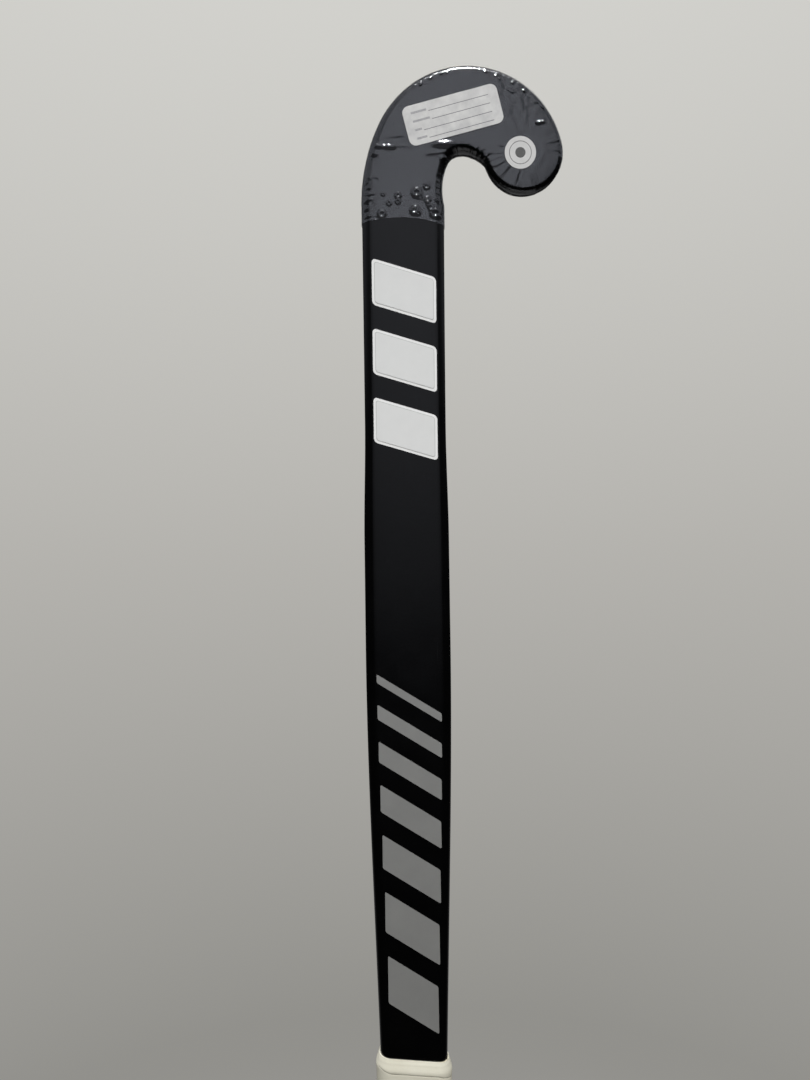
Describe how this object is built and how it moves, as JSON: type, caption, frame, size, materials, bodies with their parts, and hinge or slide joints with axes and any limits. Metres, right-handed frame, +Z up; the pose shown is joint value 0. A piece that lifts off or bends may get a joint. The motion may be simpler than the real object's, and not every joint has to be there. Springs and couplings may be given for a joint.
{
  "type": "field hockey stick",
  "caption": "Composite field hockey stick with a tightly hooked head, bowed shaft, clear shrink film on the head and a wound grip.",
  "frame": {"origin": "middle of the flat butt end", "axes": "+Z up the stick from the butt to the head, -Y out of the flat playing face, +X towards the toe"},
  "size_m": [0.1192, 0.0469, 0.9531],
  "materials": {
    "black_laminate": "satin black lacquer over carbon laminate",
    "inner_laminate": "bare moulded laminate",
    "foam": "rigid foam",
    "cap_rubber": "moulded, matt",
    "adhesive_tape": "double-sided tape",
    "cream_grip": "soft polyurethane tape",
    "end_tape": "vinyl tape",
    "clear_film": "clear shrink film",
    "label_paper": "matt paper",
    "white_vinyl": "satin",
    "white_transfer": "satin white ink",
    "silver_transfer": "satin silver-grey ink"
  },
  "bodies": {
    "root": {"stick_shell": "black_laminate", "head_core": "foam", "heel_side_tube": "inner_laminate", "toe_side_tube": "inner_laminate", "butt_plug": "foam", "butt_cap": "cap_rubber", "grip_adhesive": "adhesive_tape", "grip_wrap": "cream_grip", "grip_end_tape": "end_tape", "head_film": "clear_film", "size_label": "label_paper", "toe_sticker": "white_vinyl", "white_bar_1": "white_transfer", "white_bar_2": "white_transfer", "white_bar_3": "white_transfer", "silver_stripe_1": "silver_transfer", "silver_stripe_2": "silver_transfer", "silver_stripe_3": "silver_transfer", "silver_stripe_4": "silver_transfer", "silver_stripe_5": "silver_transfer", "silver_stripe_6": "silver_transfer", "silver_stripe_7": "silver_transfer"}
  },
  "joints": []
}
